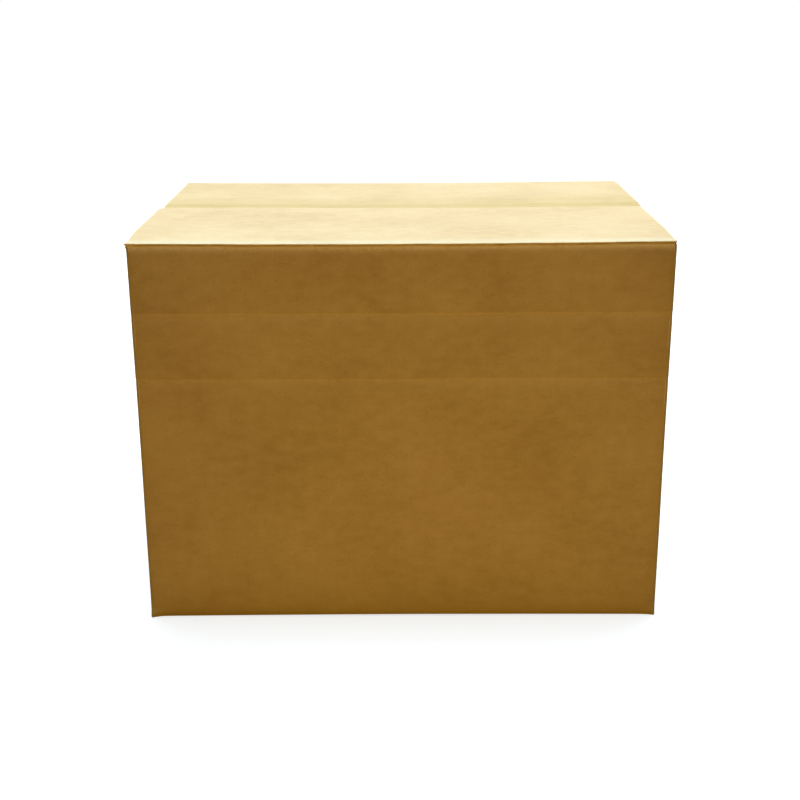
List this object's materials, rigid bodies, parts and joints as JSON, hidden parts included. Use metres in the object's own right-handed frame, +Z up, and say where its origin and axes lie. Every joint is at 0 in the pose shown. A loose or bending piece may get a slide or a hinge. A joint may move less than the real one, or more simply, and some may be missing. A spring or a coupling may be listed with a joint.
{
  "type": "cardboard box",
  "caption": "Closed slotted carton of plain brown corrugated board, with loose hinged top flaps, spare folding lines round the walls and a taped bottom seam.",
  "frame": {"origin": "middle of the base, on the surface that the carton stands on", "axes": "+Z up, +X along the long front wall to the right as seen from the front, -Y out of the front wall"},
  "size_m": [0.4062, 0.305, 0.3068],
  "materials": {
    "kraft_board": "matte",
    "packing_tape": "gloss"
  },
  "bodies": {
    "carton": {"box_body": "kraft_board", "bottom_tape": "packing_tape"},
    "front_flap": {"top_front_flap": "kraft_board"},
    "back_flap": {"top_back_flap": "kraft_board"}
  },
  "joints": [
    {"name": "front_flap_fold", "type": "hinge", "parent": "carton", "child": "front_flap", "pos_m": [0, -0.1525, 0.305], "axis": [1, 0, 0], "range_deg": [0, 175]},
    {"name": "back_flap_fold", "type": "hinge", "parent": "carton", "child": "back_flap", "pos_m": [0, 0.1525, 0.305], "axis": [-1, 0, 0], "range_deg": [0, 175]}
  ]
}
